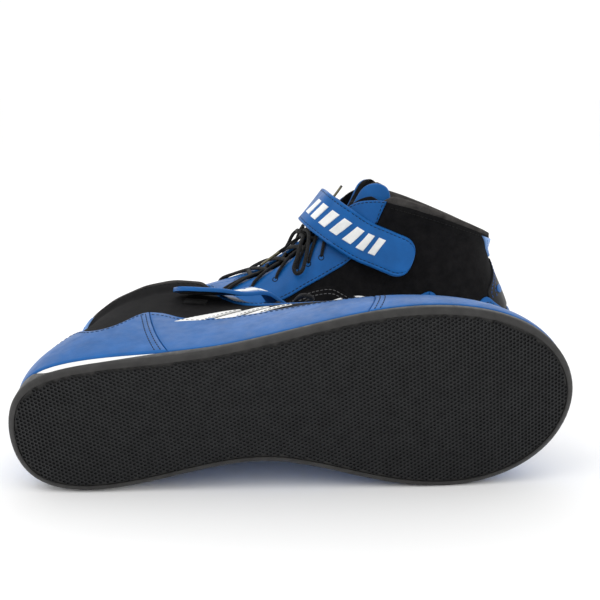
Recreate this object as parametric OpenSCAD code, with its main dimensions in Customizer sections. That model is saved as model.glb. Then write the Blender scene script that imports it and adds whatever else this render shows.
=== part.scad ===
// A pair of laced ankle boots with an ankle strap: the right one lies on its
// inner side, the left one stands behind it. Millimetres, +Z up, floor at z = 0.

/* [Pair] */
// Sideways place of the lying boot's heel
right_x = -143; // [-150:1:-135]
// Turn of the lying boot about the vertical, in degrees
right_yaw = 1.9; // [0:0.1:4]
// Rise of the lying boot's toe, in degrees
right_pitch = 4.9; // [4:0.1:6]
// Roll of the lying boot about its length, in degrees
right_roll = 5.4; // [4:0.1:7]
// Sideways place of the standing boot's heel
left_x = 148; // [140:1:160]
// Depth of the standing boot's heel
left_y = 226; // [222:1:240]
// Turn of the standing boot from the sideways direction, in degrees
left_yaw = 6.9; // [0:0.1:8]

/* [Sole] */
// Thickness of the rubber sheet of the outsole
sole_t = 3.5; // [3:0.1:4.5]
// How far the outsole's rim stands out of the upper
rim_out = 1.5; // [1:0.1:2.5]
// Rise of the sole's edge at the tip of the toe
toe_spring = 9; // [6:0.5:12]
// Height of the foam wedge under the heel
wedge_h = 6; // [4:0.5:6]
// Thickness of the insole board
board_t = 2; // [1.5:0.1:2.5]
// Thickness of the footbed
footbed_t = 4; // [3:0.1:5]

/* [Upper] */
// Thickness of the suede and leather of the upper
leather_t = 1.4; // [1:0.1:1.6]
// Thickness of the pieces sewn onto the upper
overlay_t = 1.2; // [0.8:0.1:1.4]
// Height of the foxing as a share of the upper's height
foxing_share = 0.34; // [0.3:0.01:0.36]
// Thickness of the tongue
tongue_t = 4; // [3:0.1:4.5]

/* [Strap and lace] */
// Width of the ankle strap
strap_w = 28; // [24:1:30]
// Thickness of the ankle strap
strap_t = 2.4; // [2:0.1:2.6]
// Diameter of the lace
lace_d = 2.6; // [2:0.1:2.8]

/* [Hidden] */

// Each boot is drawn in its own frame: X to the outer side, Y to the toe, Z up,
// the heel's back near y = -3 and the floor at z = 0. The upper is one surface.
// A station runs up the upper from the feather edge, where it meets the sole, to
// the topline: stations 0 to 12 go from the heel along the outer side to the toe.
// Columns: y, outer x, inner x and height of the feather edge; y, x and height of
// the topline; bulge and rise of the low handle; reach and drop of the high one.
stations = [
  [-3, 0, 0, 25, 17, 0, 102, 7, 34, 0, 30],
  [2, 21, -20, 21, 20, 17, 104, 6, 32, 0, 30],
  [18, 32, -30, 14, 34, 31, 111, 5, 34, 0, 36],
  [45, 35, -32, 12, 58, 38, 121, 5, 38, -1, 44],
  [74, 35, -28, 10, 83, 37, 130, 4, 42, -1, 50],
  [103, 36, -23, 7, 105, 27, 134, 4, 36, 4, 44],
  [131, 40, -23, 6, 118, 17, 126, 4, 32, 16, 30],
  [160, 45, -33, 6, 132, 16, 108, 4, 30, 20, 16],
  [190, 49, -44, 6, 148, 15, 92, 4, 28, 22, 8],
  [220, 48, -49, 7, 165, 14, 81, 4, 28, 24, 6],
  [248, 41, -46, 10, 180, 11, 74, 4, 28, 30, 6],
  [274, 25, -33, 14, 190, 6, 71, 4, 28, 38, 5],
  [288, -5, -5, 17, 193, 0, 70, 4, 28, 42, 4]
];
toe = len(stations) - 1;
around = 2 * toe;
layer_gap = 0.3;
seam_gap = 0.06;
seam_share = 0.004;
lining_out = -3.4;
lining_in = -4.4;

function unit(v) = v / norm(v);
function clamp(x, low, high) = min(high, max(low, x));
function clamp01(x) = clamp(x, 0, 1);
function smooth(x) = let(c = clamp01(x)) c * c * (3 - 2 * c);
function blend(a, b, k) = a + (b - a) * k;
function range(a, b, n) = [for (i = [0:n]) blend(a, b, i / n)];
function station_of(k) = stations[k <= toe ? k : around - k];
function side_of(k) = k <= toe ? 1 : -1;
function feather(k) =
  let(s = station_of(k))
  [side_of(k) > 0 ? s[1] : s[2], s[0], s[3]];
function topline(k) =
  let(s = station_of(k))
  [side_of(k) * s[5], s[4], s[6]];
function outward(k) =
  let(d = feather((k + 1) % around) - feather((k + around - 1) % around))
  unit([d.y, -d.x, 0]);
function low_handle(k) =
  let(s = station_of(k))
  feather(k) + outward(k) * s[7] + [0, 0, s[8]];
function high_handle(k) =
  let(s = station_of(k), d = feather(k) - topline(k))
  topline(k) + unit([d.x, d.y, 0]) * s[9] - [0, 0, s[10]];
controls = [
  for (k = [0:around - 1])
    [feather(k), low_handle(k), high_handle(k), topline(k)]
];

// A closed smooth curve through the stations' controls, at station t.
function wrapped(i) = ((i % around) + around) % around;
function spline(curve, t) =
  let(
    i = floor(t),
    f = t - i,
    a = controls[wrapped(i - 1)][curve],
    b = controls[wrapped(i)][curve],
    c = controls[wrapped(i + 1)][curve],
    d = controls[wrapped(i + 2)][curve],
    g = 1 - f
  )
  (a * g * g * g + b * (3 * f * f * f - 6 * f * f + 4)
    + c * (3 * g * g * g - 6 * g * g + 4) + d * f * f * f) / 6;
// The upper's outer surface: t is the station, v runs from feather edge to topline.
function skin(t, v) =
  let(g = 1 - v)
  spline(0, t) * g * g * g + spline(1, t) * 3 * v * g * g
    + spline(2, t) * 3 * v * v * g + spline(3, t) * v * v * v;
function skin_normal(t, v) =
  let(e = 0.01)
  unit(cross(skin(t + e, v) - skin(t - e, v), skin(t, v + e) - skin(t, v - e)));
function layer(t, v, out) = skin(t, v) + skin_normal(t, v) * out;

// The upper is cut at the same rows and half stations everywhere, so that its
// layers stay parallel. Round the ankle it ends lower, where the collar begins.
rows = [0, 0.12, 0.24, foxing_share, 0.46, 0.58, 0.7, 0.8, 0.9, 1];
ankle_share = 0.89;
function off_heel(t) = let(w = wrapped(floor(t)) + t - floor(t)) min(w, around - w);
function upper_end(t) = blend(ankle_share, 1, smooth((off_heel(t) - 4.9) / 0.6));
function row_share(t, row) = rows[row] * upper_end(t);

// A closed solid between two grids of points, each a list of columns.
module slab(outer, inner) {
  columns = len(outer);
  high = len(outer[0]);
  inside = columns * high;
  function at(i, j) = i * high + j;
  points = concat([for (c = outer) each c], [for (c = inner) each c]);
  faces = concat(
    [for (i = [0:columns - 2], j = [0:high - 2]) each [
      [at(i, j), at(i, j + 1), at(i + 1, j + 1)],
      [at(i, j), at(i + 1, j + 1), at(i + 1, j)],
      [inside + at(i, j), inside + at(i + 1, j + 1), inside + at(i, j + 1)],
      [inside + at(i, j), inside + at(i + 1, j), inside + at(i + 1, j + 1)]
    ]],
    [for (i = [0:columns - 2]) each [
      [at(i, 0), at(i + 1, 0), inside + at(i + 1, 0)],
      [at(i, 0), inside + at(i + 1, 0), inside + at(i, 0)],
      [at(i + 1, high - 1), at(i, high - 1), inside + at(i, high - 1)],
      [at(i + 1, high - 1), inside + at(i, high - 1), inside + at(i + 1, high - 1)]
    ]],
    [for (j = [0:high - 2]) each [
      [at(0, j + 1), at(0, j), inside + at(0, j)],
      [at(0, j + 1), inside + at(0, j), inside + at(0, j + 1)],
      [at(columns - 1, j), at(columns - 1, j + 1), inside + at(columns - 1, j + 1)],
      [at(columns - 1, j), inside + at(columns - 1, j + 1), inside + at(columns - 1, j)]
    ]]
  );
  polyhedron(points, faces, convexity = 8);
}

// A closed solid from a list of rings of equal length, with flat end caps.
module loft(rings) {
  n = len(rings[0]);
  last = len(rings) - 1;
  sides = [for (r = [0:last - 1], i = [0:n - 1]) each [
    [r * n + i, (r + 1) * n + i, (r + 1) * n + (i + 1) % n],
    [r * n + i, (r + 1) * n + (i + 1) % n, r * n + (i + 1) % n]
  ]];
  near = [for (i = [1:n - 2]) [0, i, i + 1]];
  far = [for (i = [1:n - 2]) [last * n, last * n + i + 1, last * n + i]];
  polyhedron([for (r = rings) each r], concat(sides, near, far), convexity = 8);
}

// A piece of the upper between two stations and two rows, as a layer of leather.
module upper_piece(from, to, low_row, high_row, inner, outer) {
  steps = round((to - from) * 2);
  ts = [for (i = [0:steps]) from + (i == 0 ? seam_gap : i == steps ? i / 2 - seam_gap : i / 2)];
  function sheet(out) = [
    for (t = ts) [for (r = [low_row:high_row])
      layer(t, row_share(t, r) + (r == low_row && r > 0 ? seam_share : 0), out)]
  ];
  slab(sheet(outer), sheet(inner));
}
module leather_piece(from, to, low_row, high_row) {
  upper_piece(from, to, low_row, high_row, -leather_t, 0);
}
module overlay_piece(from, to, low_row, high_row) {
  upper_piece(from, to, low_row, high_row, layer_gap, layer_gap + overlay_t);
}

// ---- Sole ----
heel_rise_length = 38;
toe_rise_start = 195;
toe_rise_length = 90;
function ground(y) =
  toe_spring * pow(max(0, (y - toe_rise_start) / toe_rise_length), 2)
    + toe_spring * pow(max(0, (heel_rise_length - y) / heel_rise_length), 2) / 3;
lines = [for (i = [0:2 * around - 1]) i / 2];
function rim(t, out) =
  let(p = spline(0, t), d = spline(0, t + 0.01) - spline(0, t - 0.01))
  [p.x, p.y, 0] + unit([d.y, -d.x, 0]) * out;
function placed(p, z) = [p.x, p.y, z];
// 1 where the outsole wraps up the back of the heel, 0 elsewhere
function heel_wrap(t) = smooth((24 - spline(0, t).y) / 14);
function on_wedge(y) = smooth((wedge_front - y) / 50);
function lip_height(t) =
  let(p = spline(0, t))
  blend(p.z - 0.6, ground(p.y) + sole_t + 0.4, on_wedge(p.y) * (1 - heel_wrap(t)));
// Height of the insole board: on the wedge at the heel, on the rubber in front
wedge_front = 95;
wedge_edge = -1.2;
function board_height(y) =
  (y > heel_rise_length ? ground(y) : 0) + sole_t + layer_gap + wedge_h * on_wedge(y);
function ring_at(out, heights) = [for (i = [0:len(lines) - 1]) placed(rim(lines[i], out), heights[i])];

module outsole() {
  floor_z = [for (t = lines) ground(spline(0, t).y)];
  lip_z = [for (t = lines) lip_height(t)];
  color("#1d1d1f")
    loft_strips([
      ring_at(-4, floor_z),
      ring_at(-0.5, floor_z + [for (t = lines) 0.8]),
      ring_at(rim_out, floor_z + [for (t = lines) 0.8 * sole_t]),
      ring_at(rim_out, lip_z),
      ring_at(-0.4, lip_z),
      ring_at(-0.8, floor_z + [for (t = lines) sole_t])
    ]);
}
// As loft, with end caps made of strips between the two sides of the sole
module loft_strips(rings) {
  n = len(rings[0]);
  half = n / 2;
  last = len(rings) - 1;
  function strips(base, up) = [for (i = [0:half - 1])
    let(a = base + i, b = base + i + 1, c = base + (n - i - 1) % n, d = base + (n - i) % n)
    each concat(
      i == half - 1 ? [] : [up ? [a, c, b] : [a, b, c]],
      i == 0 ? [] : [up ? [a, d, c] : [a, c, d]]
    )];
  sides = [for (r = [0:last - 1], i = [0:n - 1]) each [
    [r * n + i, (r + 1) * n + i, (r + 1) * n + (i + 1) % n],
    [r * n + i, (r + 1) * n + (i + 1) % n, r * n + (i + 1) % n]
  ]];
  polyhedron([for (r = rings) each r], concat(sides, strips(0, false), strips(last * n, true)), convexity = 8);
}

module midsole_wedge() {
  reach = 4.6;
  steps = 10;
  ts = concat(range(0, reach, steps), range(-reach, -reach / steps, steps - 1));
  function seat(t) = board_height(spline(0, t).y) - layer_gap;
  function fade(t) = smooth((reach - abs(t)) / 0.6);
  function edge_top(t) = seat(t) + fade(t) * clamp(spline(0, t).z - 0.4 - seat(t), 0, 4);
  function ring(out, heights) = [for (i = [0:len(ts) - 1]) placed(rim(ts[i], out), heights[i])];
  color("#f1f1ee")
    loft_strips([
      ring(wedge_edge, [for (t = ts) ground(spline(0, t).y) + sole_t + 0.1]),
      ring(wedge_edge, [for (t = ts) edge_top(t)]),
      ring(-2.4, [for (t = ts) edge_top(t)]),
      ring(-2.8, [for (t = ts) seat(t)])
    ]);
}

module insole_board() {
  z = [for (t = lines) board_height(spline(0, t).y)];
  color("#c9b79a")
    loft_strips([ring_at(-3.2, z), ring_at(-3.2, z + [for (t = lines) board_t])]);
}

module footbed() {
  z = [for (t = lines) board_height(spline(0, t).y) + board_t + layer_gap];
  color("#2a2b30")
    loft_strips([
      ring_at(-5.6, z),
      ring_at(-5.6, z + [for (t = lines) footbed_t - 1]),
      ring_at(-6.8, z + [for (t = lines) footbed_t])
    ]);
}

// ---- Upper ----
heel_seam = 4;
toe_seam = 8;
module heel_foxing() color("#2f6fb7") overlay_piece(-heel_seam, heel_seam, 0, 3);
module side_foxing_lateral() color("#2f6fb7") overlay_piece(heel_seam, toe_seam, 0, 3);
module side_foxing_medial() color("#2f6fb7") overlay_piece(-toe_seam, -heel_seam, 0, 3);
module toe_cap() color("#2f6fb7") overlay_piece(toe_seam, around - toe_seam, 0, 3);
module quarter_lateral() color("#1c1c1c") leather_piece(0, toe_seam, 0, 9);
module quarter_medial() color("#1c1c1c") leather_piece(-toe_seam, 0, 0, 9);
module vamp() color("#222222") leather_piece(toe_seam, around - toe_seam, 0, 9);

// Three slanted patches on the outer side, above the foxing
stripe_starts = [4.2, 5.1, 6];
stripe_width = 0.72;
stripe_slant = 0.9;
stripe_low = 0.355;
stripe_high = 0.54;
function stripe_sheet(start, out) = [for (i = [0:3]) [for (j = [0:2])
  layer(start + i * stripe_width / 3 + j * stripe_slant / 2, blend(stripe_low, stripe_high, j / 2), out)
]];
module side_stripes() color("#f4f4f2") {
  for (start = stripe_starts)
    slab(stripe_sheet(start, 0.6 + overlay_t), stripe_sheet(start, 0.6));
}

module eyestay_lateral() color("#2f6fb7") overlay_piece(5, 11.5, 6, 9);
module eyestay_medial() color("#2f6fb7") overlay_piece(-11.5, -5, 6, 9);
module heel_tab() color("#8fb0dd") overlay_piece(-1, 1, 7, 9);
module heel_patch() color("#202227") overlay_piece(-1.5, 1.5, 4, 7);
module loop_pad() {
  ts = range(3.7, 4.7, 3);
  vs = range(0.58, 0.74, 2);
  function sheet(out) = [for (t = ts) [for (v = vs) layer(t, v, out)]];
  color("#17181a")
    slab(sheet(1.2), sheet(0.4));
}

// ---- Lining and what is sewn between it and the upper ----
module lining() {
  ts = concat([for (i = [0:2 * around - 1]) i / 2]);
  shares = [0.02, 0.14, 0.28, 0.42, 0.56, 0.7, 0.8, 0.87];
  // The lowest row goes down to the insole board
  function foot_row(t, out) =
    placed(rim(t, out), board_height(spline(0, t).y) + board_t + 0.4);
  function ring(share, out) = [for (t = ts) layer(t, share * upper_end(t), out)];
  function foot(out) = [for (t = ts) foot_row(t, out)];
  color("#33363b")
    band(
      concat([foot(lining_out + 0.3)], [for (s = shares) ring(s, lining_out)]),
      concat([foot(lining_in)], [for (s = shares) ring(s, lining_in)])
    );
}
// A closed band round the boot between two stacks of rings
module band(outer, inner) {
  n = len(outer[0]);
  high = len(outer);
  inside = n * high;
  function at(i, j) = j * n + i % n;
  faces = concat(
    [for (i = [0:n - 1], j = [0:high - 2]) each [
      [at(i, j), at(i, j + 1), at(i + 1, j + 1)],
      [at(i, j), at(i + 1, j + 1), at(i + 1, j)],
      [inside + at(i, j), inside + at(i + 1, j + 1), inside + at(i, j + 1)],
      [inside + at(i, j), inside + at(i + 1, j), inside + at(i + 1, j + 1)]
    ]],
    [for (i = [0:n - 1]) each [
      [at(i, 0), at(i + 1, 0), inside + at(i + 1, 0)],
      [at(i, 0), inside + at(i + 1, 0), inside + at(i, 0)],
      [at(i + 1, high - 1), at(i, high - 1), inside + at(i, high - 1)],
      [at(i + 1, high - 1), inside + at(i, high - 1), inside + at(i + 1, high - 1)]
    ]]
  );
  polyhedron(concat([for (r = outer) each r], [for (r = inner) each r]), faces, convexity = 8);
}

module heel_counter() color("#d8cfb8") upper_piece(-3.5, 3.5, 1, 4, -3, -1.7);
module toe_puff() color("#d8cfb8") upper_piece(9.5, around - 9.5, 1, 4, -3, -1.7);

// The padded roll round the ankle: its section as [share of height, distance out]
collar_end = 4.8;
collar_section = [
  [0.895, -3.4], [0.86, -5.1], [0.865, -6.6], [0.915, -7], [0.965, -6.2], [1.01, -3.2],
  [1.01, 0.2], [0.975, 2.4], [0.935, 2.2], [0.905, 0.6], [0.905, -1.6]
];
// The roll thins towards its two ends
function collar_fill(t) = blend(0.62, 1, smooth((collar_end - abs(t)) / 1.2));
module collar_padding() {
  color("#3a3836")
    loft([
      for (t = range(-collar_end, collar_end, 22))
        [for (p = collar_section) layer(t, p[0], p[1] * (p[1] < -3.5 ? collar_fill(t) : 1))]
    ]);
}

// ---- Tongue ----
// Centre line from the throat's base to the free top, as [y, z], half width, wing depth
tongue_line = [
  [186, 57, 13, 4], [172, 66, 16, 6], [158, 76, 17, 8], [145, 88, 17, 9],
  [133, 100, 17, 12], [122, 112, 18, 20], [114, 125, 21, 30], [109, 141, 22, 34]
];
wing_turn = 78;
tongue_columns = 12;
function tongue_point(k, turn, depth) =
  let(
    c = tongue_line[k],
    a = tongue_line[max(0, k - 1)],
    b = tongue_line[min(len(tongue_line) - 1, k + 1)],
    along = unit([0, b[0] - a[0], b[1] - a[1]]),
    into = [0, -along.z, along.y],
    back = unit(blend(into, [0, -1, 0], k / (len(tongue_line) - 1))),
    wide = c[2] - depth,
    deep = c[3] - depth
  )
  [0, c[0], c[1]] + back * (depth + deep * (1 - cos(turn))) + [wide * sin(turn), 0, 0];
function tongue_sheet(first, last, depth, span) = [
  for (turn = range(span, -span, tongue_columns))
    [for (k = [first:last]) tongue_point(k, turn, depth)]
];
module tongue() {
  color("#26282c")
    slab(tongue_sheet(0, 7, 0, wing_turn), tongue_sheet(0, 7, tongue_t, wing_turn));
}
module tongue_facing() {
  color("#2f6fb7")
    slab(tongue_sheet(6, 7, -1.3, 62), tongue_sheet(6, 7, -0.2, 62));
}

// ---- Lace ----
hole_stations = [6.85, 7.3, 7.7, 8.4, 9.2, 10.1];
hole_share = 0.77;
edge_share = 0.975;
lace_sides = 8;
eyestay_out = layer_gap + overlay_t;
lace_side_step = 0.1;
under_lift = -1.5;
over_lift = 1.4;
function direction(path, i) =
  unit(path[min(len(path) - 1, i + 1)] - path[max(0, i - 1)]);
function carried(normal, along) = unit(normal - along * (normal * along));
function ring_normals(path, first) = [
  for (i = 0, m = carried(first, direction(path, 0));
    i < len(path);
    i = i + 1, m = i < len(path) ? carried(m, direction(path, i)) : m) m
];
module tube(path, d) {
  normals = ring_normals(path, [0.1, 0.5, 1]);
  loft([
    for (i = [0:len(path) - 1])
      let(m = normals[i], s = cross(direction(path, i), m))
      [for (k = [0:lace_sides - 1])
        path[i] + (m * cos(k * 360 / lace_sides) + s * sin(k * 360 / lace_sides)) * d / 2]
  ]);
}
// A point on a lace that lies on the eyestay, at station t of one side
function on_eyestay(t, side, share, lift) =
  layer(side * t, share, eyestay_out + lace_d / 2 + lift);
function eyestay_run(t, side) = [
  on_eyestay(t, side, hole_share, 0.2), on_eyestay(t, side, 0.87, 0.5), on_eyestay(t, side, edge_share, 0.8)
];
function reversed(list) = [for (i = [len(list) - 1:-1:0]) list[i]];
function crossing(from, to, side, lift) =
  let(
    a = eyestay_run(from, side),
    b = reversed(eyestay_run(to, -side)),
    up = unit(skin_normal(from, 1) + skin_normal(-from, 1))
  )
  concat(a, [(a[2] + b[0]) / 2 + up * lift], b);
knot = [0, 146.5, 101.8];
knot_r = 2.6;
module lace() color("#151515") {
  last = len(hole_stations) - 1;
  bottom = hole_stations[last] + lace_side_step;
  tube(crossing(bottom, bottom, 1, 0.6), lace_d);
  for (k = [0:last - 1], side = [-1, 1])
    tube(
      crossing(hole_stations[k] + lace_side_step, hole_stations[k + 1] - lace_side_step, side,
        side > 0 ? under_lift : over_lift),
      lace_d
    );
  for (side = [-1, 1])
    tube(concat(eyestay_run(hole_stations[0] - lace_side_step, side), [knot + [side * 4.2, -1.5, 1.5]]), lace_d);
  translate(knot) sphere(knot_r, $fn = 16);
}
// Free ends and bow loops, from the knot; the inner loop mirrors the outer one
outer_end = [[0, 150.4, 100.6], [1.5, 153, 99.4], [3.5, 156, 97.6], [5.5, 159.5, 95.4], [7, 163, 93.2]];
inner_end = [[0, 145, 106.3], [-1.5, 141.5, 111.5], [-3, 137.5, 116], [-4.5, 132.5, 120.5], [-5.2, 128, 124.5]];
bow_loop = [
  [4, 149, 102.5], [10, 149.5, 104], [16.5, 149, 103.5], [23.2, 151.5, 99.5], [28.4, 154, 92.7], [32.3, 157, 85.5],
  [35, 155.5, 82], [35.5, 152, 84], [33.2, 149.8, 89], [28.8, 147.6, 96.2], [23.2, 146, 102.5],
  [16.8, 145, 106.3], [10, 145.8, 107.5], [4, 146.5, 106.5]
];
function mirrored(path) = [for (p = path) [-p.x, p.y, p.z]];
module lace_ends() color("#151515") {
  tube(outer_end, lace_d);
  tube(inner_end, lace_d);
  tube(bow_loop, lace_d);
  tube(mirrored(bow_loop), lace_d);
}
aglet_d = 3;
outer_tip = [[7.2, 163.5, 92.9], [9, 169.5, 89], [11, 178, 83.5]];
inner_tip = [[-5.4, 127.4, 125.1], [-7, 123, 130], [-9, 118.5, 135.5]];
module aglets() color("#dfe3e6") {
  tube(outer_tip, aglet_d);
  tube(inner_tip, aglet_d);
}

// ---- Ankle strap ----
// Centre line from the sewn inner end round the front to the free tip
strap_line = [
  [-33, 98, 98], [-32, 111, 104], [-29.7, 126.2, 113.2], [-18, 137.5, 120.8], [0, 140, 123.2],
  [18.8, 137.5, 120.8], [30.7, 127.2, 113.2], [34.3, 112.3, 103.5], [38.6, 99.3, 98], [42, 87, 93], [44.4, 78.5, 90]
];
function strap_centre(s) =
  let(n = len(strap_line) - 1, x = s * n, i = max(0, min(n - 1, floor(x))), f = x - i,
    a = strap_line[max(0, i - 1)], b = strap_line[i], c = strap_line[i + 1], d = strap_line[min(n, i + 2)])
  0.5 * (2 * b + (c - a) * f + (2 * a - 5 * b + 4 * c - d) * f * f + (3 * b - a - 3 * c + d) * f * f * f);
// On the outer side the strap's lower edge stands off the boot
strap_lean = 0.3;
function strap_rise(s) =
  let(x = strap_centre(s).x, k = clamp01(1 - abs(x) / 33), along = unit(strap_centre(s + 0.005) - strap_centre(s - 0.005)))
  carried([-strap_lean * smooth((x - 26) / 12), -0.4 - 0.3 * k, 0.92 - 0.22 * k], along);
function strap_in(s) =
  let(along = unit(strap_centre(s + 0.005) - strap_centre(s - 0.005)))
  cross(along, strap_rise(s));
// A point of the strap: across its width, and in towards the boot
function strap_point(s, across, in) =
  strap_centre(s) + strap_rise(s) * across + strap_in(s) * in;
module strap_sheet(list, half_width, from, to) {
  function sheet(in) = [
    for (i = [0:len(list) - 1])
      [for (j = [-1, -0.5, 0, 0.5, 1]) strap_point(list[i], j * half_width[i], in)]
  ];
  slab(sheet(to), sheet(from));
}
wrap_list = range(0.004, 0.64, 14);
tip_list = concat(range(0.648, 0.93, 6), [0.955, 0.975, 0.99]);
tip_half = [for (i = [0:9]) strap_w / 2 * [1, 1, 1, 1, 1, 1, 1, 0.9, 0.72, 0.5][i]];
module strap_wrap() {
  color("#2f6fb7")
    strap_sheet(wrap_list, [for (s = wrap_list) strap_w / 2], -strap_t / 2, strap_t / 2);
}
module strap_tip() {
  color("#2f6fb7")
    strap_sheet(tip_list, tip_half, -strap_t / 2, strap_t / 2);
}
module strap_hook_pad() {
  pad = range(0.8, 0.93, 3);
  color("#141414")
    strap_sheet(pad, [for (s = pad) strap_w / 2 - 5], strap_t / 2 + 0.1, strap_t / 2 + 0.8);
}

// ---- Where each boot lies ----
pair_shift = [-1.804, -128.068, 0];
module right_boot() {
  translate(pair_shift + [right_x, 0, right_lift])
    rotate([0, 0, right_yaw]) rotate([0, -right_pitch, 0]) rotate([right_roll, 0, 0])
      rotate(-120, [1, 1, 1]) children();
}
right_lift = 29.684;
module left_boot() {
  translate(pair_shift + [left_x, left_y, 0])
    rotate([0, 0, 90 + left_yaw]) mirror([1, 0, 0]) children();
}

right_boot() outsole();  // right_outsole
right_boot() midsole_wedge();  // right_midsole_wedge
right_boot() insole_board();  // right_insole_board
right_boot() footbed();  // right_footbed
right_boot() heel_foxing();  // right_heel_foxing
right_boot() side_foxing_lateral();  // right_side_foxing_lateral
right_boot() side_foxing_medial();  // right_side_foxing_medial
right_boot() toe_cap();  // right_toe_cap
right_boot() quarter_lateral();  // right_quarter_lateral
right_boot() quarter_medial();  // right_quarter_medial
right_boot() vamp();  // right_vamp
right_boot() side_stripes();  // right_side_stripes
right_boot() eyestay_lateral();  // right_eyestay_lateral
right_boot() eyestay_medial();  // right_eyestay_medial
right_boot() heel_tab();  // right_heel_tab
right_boot() heel_patch();  // right_heel_patch
right_boot() collar_padding();  // right_collar_padding
right_boot() lining();  // right_lining
right_boot() heel_counter();  // right_heel_counter
right_boot() toe_puff();  // right_toe_puff
right_boot() loop_pad();  // right_loop_pad
right_boot() tongue();  // right_tongue
right_boot() tongue_facing();  // right_tongue_facing
right_boot() lace();  // right_lace
right_boot() lace_ends();  // right_lace_ends
right_boot() aglets();  // right_aglets
right_boot() strap_wrap();  // right_strap_wrap
right_boot() strap_tip();  // right_strap_tip
right_boot() strap_hook_pad();  // right_strap_hook_pad
left_boot() outsole();  // left_outsole
left_boot() midsole_wedge();  // left_midsole_wedge
left_boot() insole_board();  // left_insole_board
left_boot() footbed();  // left_footbed
left_boot() heel_foxing();  // left_heel_foxing
left_boot() side_foxing_lateral();  // left_side_foxing_lateral
left_boot() side_foxing_medial();  // left_side_foxing_medial
left_boot() toe_cap();  // left_toe_cap
left_boot() quarter_lateral();  // left_quarter_lateral
left_boot() quarter_medial();  // left_quarter_medial
left_boot() vamp();  // left_vamp
left_boot() side_stripes();  // left_side_stripes
left_boot() eyestay_lateral();  // left_eyestay_lateral
left_boot() eyestay_medial();  // left_eyestay_medial
left_boot() heel_tab();  // left_heel_tab
left_boot() heel_patch();  // left_heel_patch
left_boot() collar_padding();  // left_collar_padding
left_boot() lining();  // left_lining
left_boot() heel_counter();  // left_heel_counter
left_boot() toe_puff();  // left_toe_puff
left_boot() loop_pad();  // left_loop_pad
left_boot() tongue();  // left_tongue
left_boot() tongue_facing();  // left_tongue_facing
left_boot() lace();  // left_lace
left_boot() lace_ends();  // left_lace_ends
left_boot() aglets();  // left_aglets
left_boot() strap_wrap();  // left_strap_wrap
left_boot() strap_tip();  // left_strap_tip
left_boot() strap_hook_pad();  // left_strap_hook_pad
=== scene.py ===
import math
import bpy
import numpy as np
from mathutils import Matrix, Vector


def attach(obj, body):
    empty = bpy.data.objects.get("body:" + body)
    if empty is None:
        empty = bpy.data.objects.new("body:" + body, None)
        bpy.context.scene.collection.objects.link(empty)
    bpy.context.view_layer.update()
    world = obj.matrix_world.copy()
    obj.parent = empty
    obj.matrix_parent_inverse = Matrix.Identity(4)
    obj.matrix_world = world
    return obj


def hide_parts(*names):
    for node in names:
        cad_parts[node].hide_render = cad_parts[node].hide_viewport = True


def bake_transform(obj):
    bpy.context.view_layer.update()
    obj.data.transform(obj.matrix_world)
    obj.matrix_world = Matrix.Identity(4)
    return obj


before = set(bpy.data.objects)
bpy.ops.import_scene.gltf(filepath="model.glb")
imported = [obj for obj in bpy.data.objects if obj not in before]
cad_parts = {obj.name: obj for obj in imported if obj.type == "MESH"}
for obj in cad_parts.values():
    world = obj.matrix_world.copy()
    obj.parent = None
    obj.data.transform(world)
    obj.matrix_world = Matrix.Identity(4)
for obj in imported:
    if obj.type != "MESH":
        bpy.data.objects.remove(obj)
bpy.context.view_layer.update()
MM = 0.001

# ---- Camera ----
camera = bpy.data.objects.new("camera", bpy.data.cameras.new("camera"))
bpy.context.scene.collection.objects.link(camera)
camera.location = (-0.0017, -0.5742, 0.1983)
camera.rotation_euler = (math.radians(90 - 12.24), 0, 0)
camera.data.lens = 56.9
camera.data.sensor_width = 36
camera.data.clip_start = 0.01
bpy.context.scene.camera = camera

# ---- The upper's surface, in each boot's own frame, in millimetres ----
# X to the outer side, Y to the toe, Z up. Columns as in the CAD: y, outer x, inner x
# and height of the feather edge; y, x and height of the topline; the two handles.
STATIONS = [
    [-3, 0, 0, 25, 17, 0, 102, 7, 34, 0, 30],
    [2, 21, -20, 21, 20, 17, 104, 6, 32, 0, 30],
    [18, 32, -30, 14, 34, 31, 111, 5, 34, 0, 36],
    [45, 35, -32, 12, 58, 38, 121, 5, 38, -1, 44],
    [74, 35, -28, 10, 83, 37, 130, 4, 42, -1, 50],
    [103, 36, -23, 7, 105, 27, 134, 4, 36, 4, 44],
    [131, 40, -23, 6, 118, 17, 126, 4, 32, 16, 30],
    [160, 45, -33, 6, 132, 16, 108, 4, 30, 20, 16],
    [190, 49, -44, 6, 148, 15, 92, 4, 28, 22, 8],
    [220, 48, -49, 7, 165, 14, 81, 4, 28, 24, 6],
    [248, 41, -46, 10, 180, 11, 74, 4, 28, 30, 6],
    [274, 25, -33, 14, 190, 6, 71, 4, 28, 38, 5],
    [288, -5, -5, 17, 193, 0, 70, 4, 28, 42, 4],
]
TOE = len(STATIONS) - 1
AROUND = 2 * TOE


def unit(a):
    a = np.asarray(a, float)
    return a / np.maximum(np.linalg.norm(a, axis=-1, keepdims=True), 1e-9)


def smooth(x):
    x = np.clip(x, 0, 1)
    return x * x * (3 - 2 * x)


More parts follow.
